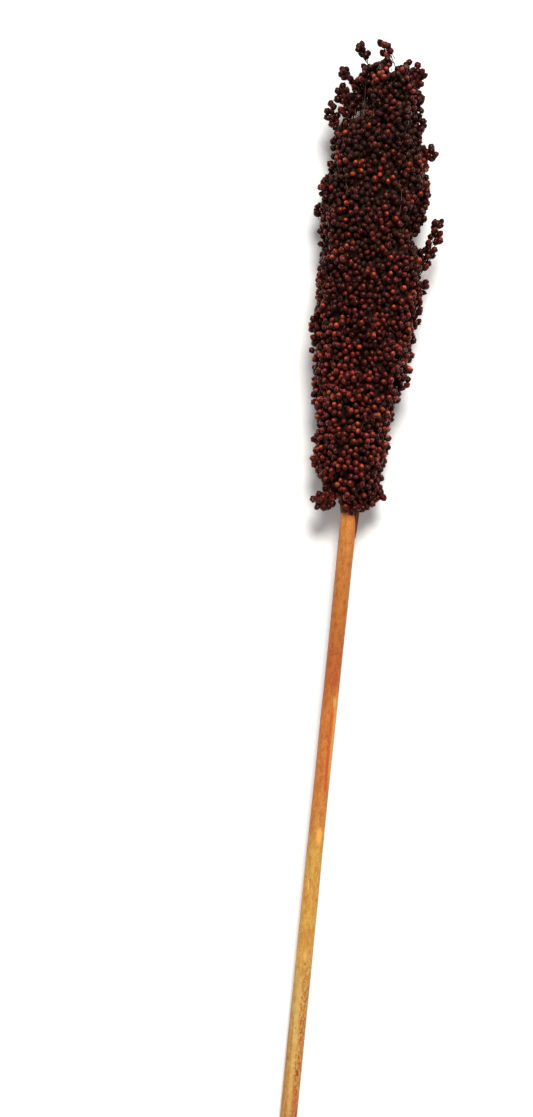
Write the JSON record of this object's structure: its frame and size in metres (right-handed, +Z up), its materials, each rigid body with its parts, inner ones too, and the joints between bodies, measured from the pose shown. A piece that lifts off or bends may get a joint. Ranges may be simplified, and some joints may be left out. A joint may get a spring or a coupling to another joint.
{
  "type": "sorghum seed head",
  "caption": "Dried sorghum seed head on a long straight stem, lying on its side: a dense spindle of round seeds in lobes with loose sprigs.",
  "frame": {"origin": "centre of the box round the plant in X and Y, on the surface it lies on", "axes": "+Y runs along the stem towards the tip of the head, +Z is up from the surface it lies on, +X is to the right of the head seen from above with its tip away from the viewer"},
  "size_m": [0.092, 0.7614, 0.0722],
  "materials": {
    "stem": "dry, smooth straw-coloured stalk, orange-brown near the head and tan lower down",
    "head": "dark maroon-brown glossy seeds with darker dull husks"
  },
  "bodies": {
    "root": {"stem": "stem", "head": "head"}
  },
  "joints": []
}
